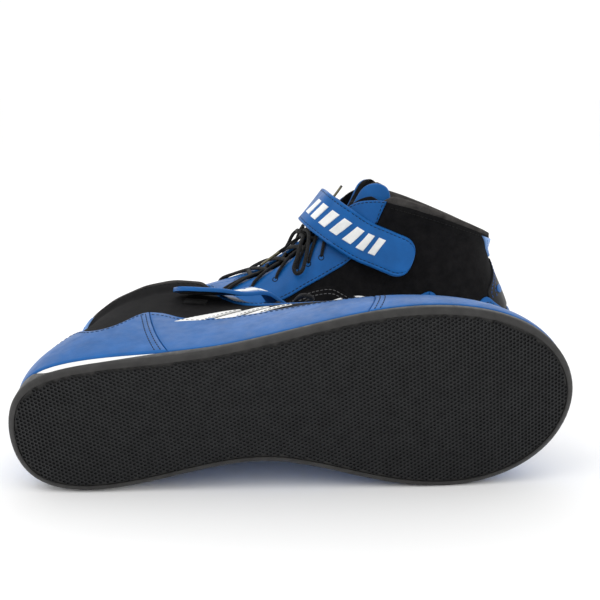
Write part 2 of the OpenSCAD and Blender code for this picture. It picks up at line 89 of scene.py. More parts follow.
def control_points():
    s = [STATIONS[k if k <= TOE else AROUND - k] for k in range(AROUND)]
    side = [1 if k <= TOE else -1 for k in range(AROUND)]
    feather = np.array([[r[1] if q > 0 else r[2], r[0], r[3]] for r, q in zip(s, side)], float)
    top = np.array([[q * r[5], r[4], r[6]] for r, q in zip(s, side)], float)
    d = np.roll(feather, -1, 0) - np.roll(feather, 1, 0)
    out = unit(np.stack([d[:, 1], -d[:, 0], 0 * d[:, 0]], 1))
    r = np.array(s, float)
    up = np.array([0, 0, 1.0])
    low = feather + out * r[:, 7:8] + up * r[:, 8:9]
    flat = feather - top
    flat[:, 2] = 0
    high = top + unit(flat) * r[:, 9:10] - up * r[:, 10:11]
    return np.stack([feather, low, high, top], 1)


CONTROLS = control_points()


def spline(curve, t):
    t = np.asarray(t, float)
    i = np.floor(t).astype(int)
    f = (t - i)[..., None]
    g = 1 - f
    a, b, c, d = (CONTROLS[(i + k) % AROUND, curve] for k in (-1, 0, 1, 2))
    return (a * g**3 + b * (3 * f**3 - 6 * f**2 + 4) + c * (3 * g**3 - 6 * g**2 + 4) + d * f**3) / 6


def skin(t, v):
    t, v = np.broadcast_arrays(np.asarray(t, float), np.asarray(v, float))
    v = v[..., None]
    g = 1 - v
    return (spline(0, t) * g**3 + spline(1, t) * 3 * v * g**2
            + spline(2, t) * 3 * v**2 * g + spline(3, t) * v**3)


def layer(t, v, out):
    e = 0.01
    t, v, out = np.broadcast_arrays(np.asarray(t, float), np.asarray(v, float), np.asarray(out, float))
    n = unit(np.cross(skin(t + e, v) - skin(t - e, v), skin(t, v + e) - skin(t, v - e)))
    return skin(t, v) + n * out[..., None]


def between(a, b, c, d, f):
    """The smooth curve from b to c, at f from 0 to 1, with a and d as its neighbours."""
    return 0.5 * (2 * b + (c - a) * f + (2 * a - 5 * b + 4 * c - d) * f**2 + (3 * b - a - 3 * c + d) * f**3)


def keyed(x, table):
    """A smooth curve through (x, y) pairs."""
    xs = np.array([p[0] for p in table], float)
    ys = np.array([p[1] for p in table], float)
    slope = np.gradient(ys, xs)
    x = np.clip(np.asarray(x, float), xs[0], xs[-1])
    i = np.clip(np.searchsorted(xs, x, side="right") - 1, 0, len(xs) - 2)
    h = xs[i + 1] - xs[i]
    f = (x - xs[i]) / h
    return (
        ys[i] * (2 * f**3 - 3 * f**2 + 1) + slope[i] * h * (f**3 - 2 * f**2 + f)
        + ys[i + 1] * (3 * f**2 - 2 * f**3) + slope[i + 1] * h * (f**3 - f**2)
    )


def bulge(t, v):
    """How far the suede stands out over the padded roll at the ankle."""
    ankle = smooth((4.9 - np.abs(t)) / 0.7)
    return 2.3 * smooth((v - 0.86) / 0.09) * ankle


# ---- Where each boot lies ----
def turn(degrees, axis):
    return np.array(Matrix.Rotation(math.radians(degrees), 3, axis))


SHIFT = np.array([-1.804, -128.068, 0])
RIGHT = turn(1.9, "Z") @ turn(-4.9, "Y") @ turn(5.4, "X") @ np.array([[0, 1, 0], [0, 0, 1], [1, 0, 0]])
LEFT = turn(96.9, "Z") @ np.diag([-1.0, 1, 1])
PLACES = {
    "right": (RIGHT, SHIFT + [-143, 0, 29.684], False),
    "left": (LEFT, SHIFT + [148, 226, 0], True),
}


def place(side, p):
    """From a boot's frame in millimetres to the row frame in metres."""
    turned, shift, _ = PLACES[side]
    return (np.asarray(p, float) @ turned.T + shift) * MM


# ---- Materials ----
def material(name, color, roughness, **extra):
    m = bpy.data.materials.new(name)
    m.use_nodes = True
    b = m.node_tree.nodes["Principled BSDF"]
    b.inputs["Base Color"].default_value = (*color, 1)
    b.inputs["Roughness"].default_value = roughness
    for key, value in extra.items():
        b.inputs[key.replace("_", " ")].default_value = value
    return m, m.node_tree, b


def coords(tree, scale=1.0):
    """The place of each point in its boot's own frame, in millimetres."""
    at = tree.nodes.new("ShaderNodeAttribute")
    at.attribute_name = "grain"
    mul = tree.nodes.new("ShaderNodeVectorMath")
    mul.operation = "SCALE"
    mul.inputs["Scale"].default_value = scale
    tree.links.new(at.outputs["Vector"], mul.inputs[0])
    return mul.outputs["Vector"]


def noise(tree, size, detail=3.0, rough=0.55):
    n = tree.nodes.new("ShaderNodeTexNoise")
    n.inputs["Scale"].default_value = 1.0
    n.inputs["Detail"].default_value = detail
    n.inputs["Roughness"].default_value = rough
    tree.links.new(coords(tree, 1 / size), n.inputs["Vector"])
    return n.outputs["Fac"]


def cells(tree, size, feature="F1"):
    n = tree.nodes.new("ShaderNodeTexVoronoi")
    n.feature = feature
    n.inputs["Scale"].default_value = 1.0
    tree.links.new(coords(tree, 1 / size), n.inputs["Vector"])
    return n.outputs["Distance"]


def remap(tree, value, low, high, to_low, to_high):
    n = tree.nodes.new("ShaderNodeMapRange")
    for key, x in (("From Min", low), ("From Max", high), ("To Min", to_low), ("To Max", to_high)):
        n.inputs[key].default_value = x
    tree.links.new(value, n.inputs["Value"])
    return n.outputs["Result"]


def bump(tree, bsdf, layers):
    last = None
    for value, height, strength in layers:
        n = tree.nodes.new("ShaderNodeBump")
        n.inputs["Distance"].default_value = height * MM
        n.inputs["Strength"].default_value = strength
        tree.links.new(value, n.inputs["Height"])
        if last is not None:
            tree.links.new(last, n.inputs["Normal"])
        last = n.outputs["Normal"]
    tree.links.new(last, bsdf.inputs["Normal"])


def tint(tree, bsdf, value, dark, light, low=0.3, high=0.7):
    r = tree.nodes.new("ShaderNodeValToRGB")
    r.color_ramp.elements[0].position = low
    r.color_ramp.elements[1].position = high
    r.color_ramp.elements[0].color = (*dark, 1)
    r.color_ramp.elements[1].color = (*light, 1)
    tree.links.new(value, r.inputs["Fac"])
    tree.links.new(r.outputs["Color"], bsdf.inputs["Base Color"])


def smooth_leather(name, color, roughness=0.36):
    m, tree, b = material(name, color, roughness, Coat_Weight=0.03, Coat_Roughness=0.2,
        Specular_IOR_Level=0.16)
    c = np.array(color)
    tint(tree, b, noise(tree, 14, 4), tuple(c * 0.84), tuple(np.minimum(c * 1.12, 1)))
    tree.links.new(remap(tree, noise(tree, 5, 3), 0.3, 0.7, roughness - 0.05, roughness + 0.09),
        b.inputs["Roughness"])
    bump(tree, b, [(noise(tree, 22, 2), 1.4, 0.35), (cells(tree, 0.9), 0.12, 0.25),
        (noise(tree, 0.5, 2), 0.05, 0.3)])
    return m


def suede(name, dark, light):
    m, tree, b = material(name, dark, 0.92, Sheen_Weight=0.02, Sheen_Roughness=0.5, Specular_IOR_Level=0.08)
    tint(tree, b, noise(tree, 6, 6, 0.7), dark, light, 0.35, 0.75)
    bump(tree, b, [(noise(tree, 9, 2), 1.0, 0.3), (noise(tree, 0.35, 4, 0.8), 0.3, 0.8)])
    return m


def fabric(name, dark, light, size=0.8, roughness=0.85):
    m, tree, b = material(name, dark, roughness, Sheen_Weight=0.04, Specular_IOR_Level=0.12)
    tint(tree, b, cells(tree, size), light, dark, 0.1, 0.7)
    bump(tree, b, [(cells(tree, size), 0.4, 0.8), (noise(tree, 0.3, 2), 0.1, 0.5)])
    return m


def rubber(name, dark, light, roughness):
    m, tree, b = material(name, dark, roughness, Specular_IOR_Level=0.28)
    tint(tree, b, noise(tree, 8, 5, 0.65), dark, light)
    tree.links.new(remap(tree, noise(tree, 3, 4), 0.3, 0.7, roughness - 0.08, roughness + 0.12),
        b.inputs["Roughness"])
    bump(tree, b, [(noise(tree, 0.4, 3, 0.7), 0.12, 0.5), (noise(tree, 6, 2), 0.3, 0.2)])
    return m


def foam(name, dark, light):
    m, tree, b = material(name, light, 0.7)
    tint(tree, b, noise(tree, 3, 5, 0.7), dark, light, 0.25, 0.6)
    bump(tree, b, [(cells(tree, 0.5), 0.15, 0.5), (noise(tree, 4, 3), 0.4, 0.25)])
    return m


BLUE = smooth_leather("blue_smooth_leather", (0.006, 0.098, 0.325))
PALE = smooth_leather("pale_blue_smooth_leather", (0.17, 0.31, 0.6))
WHITE = smooth_leather("white_smooth_leather", (0.83, 0.83, 0.81), 0.42)
BLACK = smooth_leather("black_smooth_leather", (0.006, 0.0065, 0.008), 0.42)
SUEDE = suede("black_suede", (0.004, 0.004, 0.0045), (0.011, 0.0105, 0.011))
COLLAR = suede("collar_suede", (0.03, 0.028, 0.027), (0.075, 0.07, 0.066))
KNIT = fabric("lining_knit", (0.012, 0.013, 0.016), (0.04, 0.043, 0.05), 1.1)
BED = fabric("footbed_knit", (0.015, 0.016, 0.02), (0.05, 0.052, 0.06), 0.9)
TAPE = fabric("fastener_tape", (0.004, 0.004, 0.004), (0.02, 0.02, 0.02), 0.6)
CORD = fabric("lace_braid", (0.006, 0.006, 0.006), (0.03, 0.03, 0.03), 0.7, 0.7)
THREAD = fabric("black_thread", (0.004, 0.004, 0.004), (0.012, 0.012, 0.012), 0.3, 0.6)
BLUE_THREAD = fabric("blue_thread", (0.02, 0.1, 0.4), (0.04, 0.17, 0.55), 0.3, 0.6)
GREY_THREAD = fabric("grey_thread", (0.13, 0.13, 0.13), (0.24, 0.24, 0.24), 0.3, 0.6)
RUBBER = rubber("outsole_rubber", (0.018, 0.0175, 0.017), (0.036, 0.035, 0.034), 0.45)
TREAD = rubber("tread_rubber", (0.006, 0.0062, 0.007), (0.0145, 0.015, 0.016), 0.45)
FOAM = foam("wedge_foam", (0.72, 0.72, 0.70), (0.88, 0.88, 0.86))
BOARD = foam("fibre_board", (0.42, 0.34, 0.23), (0.6, 0.5, 0.36))
AGLET = material("aglet_film", (0.06, 0.05, 0.018), 0.25, Coat_Weight=0.5)[0]
tint(AGLET.node_tree, AGLET.node_tree.nodes["Principled BSDF"], noise(AGLET.node_tree, 3),
    (0.05, 0.042, 0.014), (0.13, 0.11, 0.035))


# ---- Mesh making, in a boot's frame; each piece is made for both boots ----
def add_piece(side, name, verts, faces, mat, sharp=None):
    verts = np.asarray(verts, float)
    mirrored = PLACES[side][2]
    mesh = bpy.data.meshes.new(f"{side}_{name}")
    mesh.from_pydata(place(side, verts).tolist(), [], [f[::-1] for f in faces] if mirrored else faces)
    grain = mesh.attributes.new("grain", "FLOAT_VECTOR", "POINT")
    grain.data.foreach_set("vector", verts.astype(np.float32).ravel())
    mesh.validate()
    mesh.polygons.foreach_set("use_smooth", [True] * len(mesh.polygons))
    if sharp is not None:
        mesh.set_sharp_from_angle(angle=math.radians(sharp))
    mesh.materials.append(mat)
    obj = bpy.data.objects.new(f"{side}_{name}", mesh)
    bpy.context.scene.collection.objects.link(obj)
    return obj


def both(name, verts, faces, mat, slot, nodes=(), body="boot", sharp=40, after=None):
    made = {}
    for side in PLACES:
        obj = add_piece(side, name, verts, faces, mat, sharp)
        if after:
            after(side, obj)
        else:
            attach(obj, f"{side}_{body}")
        if nodes:
            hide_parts(*[f"{side}_{n}" for n in nodes])
        made[side] = obj
    return made


def slab(outer, inner):
    """A closed solid between two equal grids of points."""
    outer, inner = np.asarray(outer, float), np.asarray(inner, float)
    n, m = outer.shape[:2]
    at = np.arange(n * m).reshape(n, m)
    inn = at + n * m
    faces = []

    def quads(a, b, c, d):
        faces.extend(np.stack([a.ravel(), b.ravel(), c.ravel(), d.ravel()], 1).tolist())

    quads(at[:-1, :-1], at[1:, :-1], at[1:, 1:], at[:-1, 1:])
    quads(inn[:-1, :-1], inn[:-1, 1:], inn[1:, 1:], inn[1:, :-1])
    quads(at[:-1, 0], inn[:-1, 0], inn[1:, 0], at[1:, 0])
    quads(at[1:, -1], inn[1:, -1], inn[:-1, -1], at[:-1, -1])
    quads(at[0, 1:], inn[0, 1:], inn[0, :-1], at[0, :-1])
    quads(at[-1, :-1], inn[-1, :-1], inn[-1, 1:], at[-1, 1:])
    return np.concatenate([outer.reshape(-1, 3), inner.reshape(-1, 3)]), faces


def shares(length, radius, step):
    """Places from 0 to 1 along a length, closer together in the rounded edges."""
    edge = [0, 0.12, 0.35, 0.65, 1.0]
    e = min(radius / length, 0.3)
    middle = np.linspace(e, 1 - e, max(3, int((1 - 2 * e) * length / step) + 1))
    low = [k * e for k in edge[:-1]]
    return np.array(low + middle.tolist() + [1 - k for k in low[::-1]])


def patch(point, height=1.2, base=0.3, radius=0.9, step=2.5, crown=0.0, round_a=True):
    """A sewn piece with rounded edges. point(a, b, out) gives its surface for a, b in 0..1."""
    k = np.linspace(0, 1, 25)
    along = point(k, np.full(25, 0.5), np.full(25, base))
    across = point(np.full(25, 0.5), k, np.full(25, base))
    la = np.linalg.norm(np.diff(along, axis=0), axis=1).sum()
    lb = np.linalg.norm(np.diff(across, axis=0), axis=1).sum()
    A, B = np.meshgrid(shares(la, radius, step), shares(lb, radius, step), indexing="ij")
    da = np.minimum(A, 1 - A) * la if round_a else np.full(A.shape, 9.0)
    db = np.minimum(B, 1 - B) * lb
    d = np.clip(np.minimum(da, db) / radius, 0, 1)
    lift = np.sqrt(np.clip(1 - (1 - d) ** 2, 0, 1))
    puff = crown * np.sin(np.pi * np.clip(B, 0, 1)) ** 0.7
    outer = point(A, B, base + height * lift + puff)
    inner = point(A, B, np.full(A.shape, base - 0.1))
    return slab(outer, inner)


def merge(parts):
    verts, faces, n = [], [], 0
    for v, f in parts:
        verts.append(np.asarray(v, float))
        faces.extend([[i + n for i in q] for q in f])
        n += len(v)
    return np.concatenate(verts), faces


def resample(path, step):
    path = np.asarray(path, float)
    d = np.concatenate([[0], np.cumsum(np.linalg.norm(np.diff(path, axis=0), axis=1))])
    n = max(2, int(round(d[-1] / step)) + 1)
    s = np.linspace(0, d[-1], n)
    return np.stack([np.interp(s, d, path[:, k]) for k in range(3)], 1)


def stitches(path, normals, pitch=2.9, length=2.1, thick=0.5):
    """A row of thread stitches along a path on a surface."""
    path = np.asarray(path, float)
    normals = np.broadcast_to(np.asarray(normals, float), path.shape)
    d = np.concatenate([[0], np.cumsum(np.linalg.norm(np.diff(path, axis=0), axis=1))])
    parts = []
    for s in np.arange(pitch / 2, d[-1] - length / 2, pitch):
        p = np.array([np.interp(s, d, path[:, k]) for k in range(3)])
        q = np.array([np.interp(s + 0.4, d, path[:, k]) for k in range(3)])
        n = unit(np.array([np.interp(s, d, normals[:, k]) for k in range(3)]))
        x = unit(q - p)
        y = unit(np.cross(n, x))
        rings = []
        for off, r, sink in ((-0.5, 0.35, -0.25), (-0.3, 1, 0), (0.3, 1, 0), (0.5, 0.35, -0.25)):
            ang = np.arange(6) * math.pi / 3
            rings.append(p + x * off * length + n * sink * thick
                         + np.outer(np.cos(ang), y) * thick * 0.5 * r
                         + np.outer(np.sin(ang), n) * thick * 0.4 * r)
        v = np.concatenate(rings)
        f = [[r * 6 + i, r * 6 + (i + 1) % 6, (r + 1) * 6 + (i + 1) % 6, (r + 1) * 6 + i]
             for r in range(3) for i in range(6)]
        f += [[5, 4, 3, 2, 1, 0], [18, 19, 20, 21, 22, 23]]
        parts.append((v, f))
    return merge(parts)


def surface_stitches(point, a, b, out, **kw):
    """Stitches along (a, b) on a surface given by point(a, b, out)."""
    a, b = np.broadcast_arrays(np.asarray(a, float), np.asarray(b, float))
    p = point(a, b, np.full(a.shape, out))
    n = unit(point(a, b, np.full(a.shape, out + 1.0)) - p)
    return stitches(p, n, **kw)


def smooth_path(points, per=8):
    """A smooth line through points."""
    p = np.asarray(points, float)
    out = []
    for i in range(len(p) - 1):
        a, b, c, d = p[max(0, i - 1)], p[i], p[i + 1], p[min(len(p) - 1, i + 2)]
        for f in np.arange(per) / per:
            out.append(between(a, b, c, d, f))
    return np.array(out + [p[-1]])


def tube(path, d, sides=14, braid=0.0, flat=1.0, first=(0.1, 0.5, 1), taper=0):
    """A round lace along a path; braid raises its plaited strands."""
    path = np.asarray(path, float)
    t = unit(np.gradient(path, axis=0))
    n = np.zeros_like(path)
    m = np.array(first, float)
    for i in range(len(path)):
        m = unit(m - t[i] * (m @ t[i]))
        n[i] = m
    s = np.cross(t, n)
    run = np.concatenate([[0], np.cumsum(np.linalg.norm(np.diff(path, axis=0), axis=1))])
    ang = np.arange(sides) * 2 * math.pi / sides
    wave = np.cos(ang[None] * 3 + run[:, None] * 2.1) * np.cos(ang[None] * 3 - run[:, None] * 2.1)
    r = d / 2 * (1 + braid * wave)
    if taper:
        end = np.minimum(run, run[-1] - run)
        r = r * np.sqrt(np.clip(0.3 + 0.7 * end / taper, 0, 1))[:, None]
    rings = (path[:, None] + (n[:, None] * (r * np.cos(ang))[..., None]) * flat
             + s[:, None] * (r * np.sin(ang))[..., None])
    k = sides
    faces = [[i * k + j, i * k + (j + 1) % k, (i + 1) * k + (j + 1) % k, (i + 1) * k + j]
             for i in range(len(path) - 1) for j in range(k)]
    faces += [list(range(k))[::-1], [(len(path) - 1) * k + j for j in range(k)]]
    return rings.reshape(-1, 3), faces


# ---- Laces ----
LACE_D = 2.6
EYESTAY_OUT = 1.5
HOLES = [6.85, 7.3, 7.7, 8.4, 9.2, 10.1]
HOLE_SHARE = 0.77
KNOT = np.array([0, 146.5, 101.8])
outer_end = [[0, 150.4, 100.6], [1.5, 153, 99.4], [3.5, 156, 97.6], [5.5, 159.5, 95.4], [7, 163, 93.2]]
inner_end = [
    [0, 145, 106.3], [-1.5, 141.5, 111.5], [-3, 137.5, 116], [-4.5, 132.5, 120.5], [-5.2, 128, 124.5],
]
outer_tip = [[7.2, 163.5, 92.9], [9, 169.5, 89], [11, 178, 83.5]]
inner_tip = [[-5.4, 127.4, 125.1], [-7, 123, 130], [-9, 118.5, 135.5]]
bow_loop = [
    [4, 149, 102.5], [10, 149.5, 104], [16.5, 149, 103.5], [23.2, 151.5, 99.5], [28.4, 154, 92.7],
    [32.3, 157, 85.5], [35, 155.5, 82], [35.5, 152, 84], [33.2, 149.8, 89], [28.8, 147.6, 96.2],
    [23.2, 146, 102.5], [16.8, 145, 106.3], [10, 145.8, 107.5], [4, 146.5, 106.5],
]


def free_lace(name, points, thick, tip=None, nodes=()):
    path = resample(smooth_path(points + (tip or [])), 0.5)
    v, f = tube(path, thick, braid=0.05)
    made = both(name, v, f, CORD, "lace_cord", nodes, sharp=None)
    for side, obj in made.items():
        if tip is not None:
            tv, tf = tube(resample(smooth_path(tip), 0.5), thick * 1.06, sides=16, taper=1.2)
            cap = add_piece(side, name + "_aglet", tv, tf, AGLET, 50)
            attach(cap, f"{side}_boot")
    return made


ends = free_lace("lace_outer_end", outer_end, 1.7, outer_tip, ["lace_ends"])
free_lace("lace_inner_end", inner_end, 1.7, inner_tip)
free_lace("bow_loop_lateral", bow_loop, LACE_D)
free_lace("bow_loop_medial", [[-p[0], p[1], p[2]] for p in bow_loop], LACE_D)
for side, obj in ends.items():
    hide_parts(f"{side}_aglets")


def on_eyestay(t, side, share, lift):
    return layer(side * t, share, EYESTAY_OUT + LACE_D / 2 + lift)


def eyestay_run(t, side):
    return [on_eyestay(t, side, HOLE_SHARE - 0.03, -3.7), on_eyestay(t, side, HOLE_SHARE - 0.004, -0.7),
            on_eyestay(t, side, HOLE_SHARE + 0.035, 0.3), on_eyestay(t, side, 0.9, 0.5),
            on_eyestay(t, side, 0.975, 0.8)]


def under_edge(t, side):
    return [on_eyestay(t, side, 0.985, -1.9), on_eyestay(t, side, 0.95, -3.8)]


def crossing(a, b, side, lift, tucked=True):
    p, q = eyestay_run(a, side), under_edge(b, -side) if tucked else eyestay_run(b, -side)[::-1]
    middle = ((p[-1] + q[0]) / 2
              + unit(layer(a, 1, 1) - layer(a, 1, 0) + layer(-a, 1, 1) - layer(-a, 1, 0)) * lift)
    return p + [middle] + q


runs = []
last = len(HOLES) - 1
runs.append(crossing(HOLES[last] + 0.1, HOLES[last] + 0.1, 1, 0.6, False))
for k in range(last):
    for side in (-1, 1):
        runs.append(crossing(HOLES[k + 1] - 0.1, HOLES[k] + 0.1, side, -1.5 if side > 0 else 1.4))
for side in (-1, 1):
    runs.append(eyestay_run(HOLES[0] - 0.1, side) + [KNOT + [side * 4.2, -1.5, 1.5],
        KNOT + [side * 1.5, -0.5, 0.5]])
lace_parts = [tube(resample(smooth_path(r), 0.6), LACE_D + 0.3, braid=0.05, flat=0.75, first=(0, 0.5, 1))
              for r in runs]
ring = np.array([KNOT + [1.6 * math.cos(a), 2.3 * math.cos(a) * 0.6 + 0.6, 2.9 * math.sin(a) + 1.2]
                 for a in np.linspace(0, 2 * math.pi, 40)])
lace_parts.append(tube(ring, 2.6, braid=0.05))
wrap = np.array([KNOT + [2.6 * math.cos(a), 2.2 * math.sin(a), 1.6 + 1.6 * math.sin(a)]
                 for a in np.linspace(0, 2 * math.pi, 40)])
lace_parts.append(tube(wrap, 2.4, braid=0.05))
both("lace", *merge(lace_parts), CORD, "lace_cord", ["lace"], sharp=None)

# A ring of thread around each lace hole
eyelets = []
for t in [h - 0.1 for h in HOLES] + [HOLES[last] + 0.1]:
    for side in (-1, 1):
        c = layer(side * t, HOLE_SHARE - 0.03, EYESTAY_OUT - 0.15)
        n = unit(layer(side * t, HOLE_SHARE - 0.03, 3.0) - c)
        x = unit(np.cross(n, [0, 1, 0]))
        y = np.cross(n, x)
        loop = np.array([c + 1.75 * (x * math.cos(a) + y * math.sin(a))
                         for a in np.linspace(0, 2 * math.pi, 25)])
        eyelets.append(tube(loop, 0.7, sides=8, first=tuple(n)))
both("eyelet_stitching", *merge(eyelets), THREAD, "lace_cord", sharp=None)

# ---- Sole ----
TOE_SPRING, SOLE_T, RIM_OUT = 9, 3.5, 1.5


def ground(y):
    return (TOE_SPRING * np.maximum(0, (y - 195) / 90) ** 2
            + TOE_SPRING * np.maximum(0, (38 - y) / 38) ** 2 / 3)


def rim(t, out):
    t = np.asarray(t, float)
    p, d = spline(0, t), spline(0, t + 0.01) - spline(0, t - 0.01)
    n = unit(np.stack([d[..., 1], -d[..., 0], 0 * d[..., 0]], -1))
    q = p + n * np.asarray(out)[..., None]
    q[..., 2] = 0
    return q


LINES = np.arange(8 * AROUND) / 8
EDGE = spline(0, LINES)


def on_wedge(y):
    return smooth((95 - y) / 50)


def board_height(y):
    return np.where(y > 38, ground(y), 0) + SOLE_T + 0.3 + 6 * on_wedge(y)


def heel_wrap(y):
    return smooth((24 - y) / 14)


def lip():
    g = on_wedge(EDGE[:, 1]) * (1 - heel_wrap(EDGE[:, 1]))
    return (EDGE[:, 2] - 0.6) * (1 - g) + (ground(EDGE[:, 1]) + SOLE_T + 0.4) * g


def ring_at(out, z):
    r = rim(LINES, np.full(len(LINES), float(out)))
    r[:, 2] = z
    return r


def rings_solid(rings):
    rings = np.asarray(rings, float)
    k, n = rings.shape[:2]
    f = []
    for r in range(k - 1):
        for i in range(n):
            f.append([r * n + i, r * n + (i + 1) % n, (r + 1) * n + (i + 1) % n, (r + 1) * n + i])
    for base, up in ((0, False), ((k - 1) * n, True)):
        for i in range(n // 2):
            q = [base + i, base + i + 1, base + (n - i - 1) % n, base + (n - i) % n]
            q = [x for j, x in enumerate(q) if x not in q[:j]]
            f.append(q[::-1] if up else q)
    return rings.reshape(-1, 3), f


floor_z, lip_z, y_edge = ground(EDGE[:, 1]), lip(), EDGE[:, 1]
TREAD_IN, TREAD_DEEP = -2.0, 1.1


def edge_rise(out):
    """The rounding of the sole's lower edge."""
    return 0.8 * (np.maximum(0, out + 4) / 3.5) ** 2


sole_rings = [
    ring_at(-5, floor_z + TREAD_DEEP + 0.05),
    ring_at(TREAD_IN, floor_z + TREAD_DEEP + edge_rise(TREAD_IN)),
    ring_at(TREAD_IN + 0.25, floor_z + 0.15 + edge_rise(TREAD_IN + 0.25)),
    ring_at(TREAD_IN + 0.6, floor_z + edge_rise(TREAD_IN + 0.6)),
    ring_at(-0.8, floor_z + 0.65),
    ring_at(0.4, floor_z + 1.35),
    ring_at(1.2, floor_z + 2.1),
    ring_at(RIM_OUT, floor_z + 2.9),
    ring_at(RIM_OUT, (floor_z + lip_z) / 2 + 1.3),
    ring_at(RIM_OUT, np.maximum(lip_z - 0.5, floor_z + 3)),
    ring_at(RIM_OUT - 0.35, np.maximum(lip_z, floor_z + 3.2)),
    ring_at(0.3, lip_z), ring_at(-0.4, lip_z - 0.3),
    ring_at(-0.8, floor_z + SOLE_T),
]
both("outsole", *rings_solid(sole_rings), RUBBER, "outsole_rubber", ["outsole"])


def inside(points, poly):
    x, y = points[:, 0], points[:, 1]
    hit = np.zeros(len(points), bool)
    a, b = poly, np.roll(poly, -1, 0)
    for p, q in zip(a, b):
        cross = (p[1] > y) != (q[1] > y)
        with np.errstate(divide="ignore", invalid="ignore"):
            hit ^= cross & (x < (q[0] - p[0]) * (y - p[1]) / (q[1] - p[1]) + p[0])
    return hit


PITCH, DIMPLE_RIM, DIMPLE_FLOOR = 2.1, 0.76, 0.6
field = ring_at(TREAD_IN - 0.9, 0)[:, :2]
gx, gy = np.meshgrid(np.arange(-30, 31) * PITCH, np.arange(-4, 170) * PITCH * math.sqrt(3) / 2)
gx = gx + (np.arange(gx.shape[0]) % 2)[:, None] * PITCH / 2
centers = np.stack([gx.ravel(), gy.ravel()], 1)
centers = centers[inside(centers, field)]
hexa = np.array([[math.cos(a), math.sin(a)] for a in np.radians(np.arange(6) * 60 + 30)])
wide = centers[:, None] + hexa[None] * PITCH / math.sqrt(3)
land = centers[:, None] + hexa[None] * PITCH / math.sqrt(3) * DIMPLE_RIM
small = centers[:, None] + hexa[None] * PITCH / math.sqrt(3) * DIMPLE_FLOOR
outline = ring_at(0, 0)[:, :2]


def rise_at(points):
    """Each cell follows the rounding as far as its own distance from the edge."""
    near = [np.linalg.norm(q.mean(0) - outline, axis=1).min() for q in points]
    return edge_rise(-np.array(near))[:, None]


rise = rise_at(wide)
levels = ((wide, 0.1), (land, 0.12), (small, TREAD_DEEP - 0.1))
tread = np.concatenate([np.concatenate([q, (ground(q[..., 1]) + z + rise)[..., None]], -1)
                        for q, z in levels], 1)
cell = ([[k + (i + 1) % 6, k + i, k + i + 6, k + (i + 1) % 6 + 6] for k in (0, 6) for i in range(6)]
        + [[17, 16, 15, 14, 13, 12]])
tread_faces = [[q + 18 * c for q in f] for c in range(len(centers)) for f in cell]
both("outsole_tread", tread.reshape(-1, 3), tread_faces, TREAD, "outsole_rubber", sharp=20)

WEDGE_END = 4.6
wedge_t = np.linspace(-WEDGE_END, WEDGE_END, 120)
we = spline(0, wedge_t)
seat = board_height(we[:, 1]) - 0.3
low = ground(we[:, 1]) + SOLE_T + 0.1
fade = smooth((WEDGE_END - np.abs(wedge_t)) / 0.6)
high = np.maximum(low + 0.3, low + (we[:, 2] - 0.3 - low) * fade)


def wedge_ring(out, z):
    r = rim(wedge_t, np.full(len(wedge_t), float(out)))
    r[:, 2] = z
    return r


wedge_rings = [
    wedge_ring(-1.2, low), wedge_ring(0.5, low + 0.05),
    wedge_ring(1.0, low * 0.75 + high * 0.25),
    wedge_ring(1.05, low * 0.4 + high * 0.6),
    wedge_ring(0.6, high - 0.1), wedge_ring(-0.6, high),
    wedge_ring(-2.4, high), wedge_ring(-2.8, seat),
]
both("midsole_wedge", *rings_solid(wedge_rings),
     FOAM, "wedge_foam", ["midsole_wedge"])
bz = board_height(y_edge) + 2.3
bed_rings = [ring_at(-5.6, bz), ring_at(-5.6, bz + 2.6), ring_at(-5.9, bz + 3.4), ring_at(-6.8, bz + 4)]
both("footbed", *rings_solid(bed_rings),
     BED, "footbed_fabric", ["footbed"])


# ---- Upper ----
def mapped(corner):
    """A surface from (a, b) through a station and share map."""
    def point(a, b, out):
        t, v = corner(a, b)
        return layer(t, v, out)
    return point


def skin_piece(t0, t1, v_low, v_high, top_edge=None):
    def corner(a, b):
        t = t0 + (t1 - t0) * a
        top = v_high if top_edge is None else top_edge(t)
        return t, v_low + (top - v_low) * b
    return corner


def wrinkle(t, v):
    """Soft unevenness of the suede, in millimetres."""
    return 0.22 * np.sin(t * 5.1 + v * 9) * np.sin(v * 17 + t * 2.3)


def quarter_top(t):
    return 0.976 + 0.024 * smooth((np.abs(np.where(t > TOE, AROUND - t, t)) - 4.75) / 0.35)


def suede_point(corner):
    def point(a, b, out):
        t, v = corner(a, b)
        s = np.where(t > TOE, t - AROUND, t)
        return layer(t, v, out + bulge(s, v) + wrinkle(t, v))
    return point


for name, t0, t1 in (("quarter_lateral", 0.0, 8.0), ("quarter_medial", -8.0, 0.0), ("vamp", 8.0, 16.0)):
    both(name, *patch(suede_point(skin_piece(t0, t1, 0.0, 1.0, quarter_top)), 1.4, -1.4, 0.5, 2.2,
        round_a=False), SUEDE, "black_suede", [name])

FOX = [
    (0, 0.29), (0.6, 0.29), (1.0, 0.33), (1.5, 0.43), (1.8, 0.494), (2.13, 0.465), (2.5, 0.37),
    (3.0, 0.375), (3.4, 0.52), (3.75, 0.50), (4.3, 0.405), (5, 0.375), (6, 0.355), (7, 0.345),
    (8, 0.34), (9, 0.34), (10, 0.355), (11, 0.38), (12, 0.4),
]


def fox_top(t):
    s = np.abs(np.where(t > TOE, AROUND - t, t))
    return keyed(s, FOX)


def seam_at(t_low, t_high, b):
    return t_low + (t_high - t_low) * b


def fox_piece(left_edge, right_edge):
    """A foxing piece between two slanted seams, each (t at the feather, t at the top)."""
    def corner(a, b):
        lo = seam_at(*left_edge, b)
        hi = seam_at(*right_edge, b)
        t = lo + (hi - lo) * a
        return t, 0.001 + (fox_top(t) - 0.001) * b
    return corner


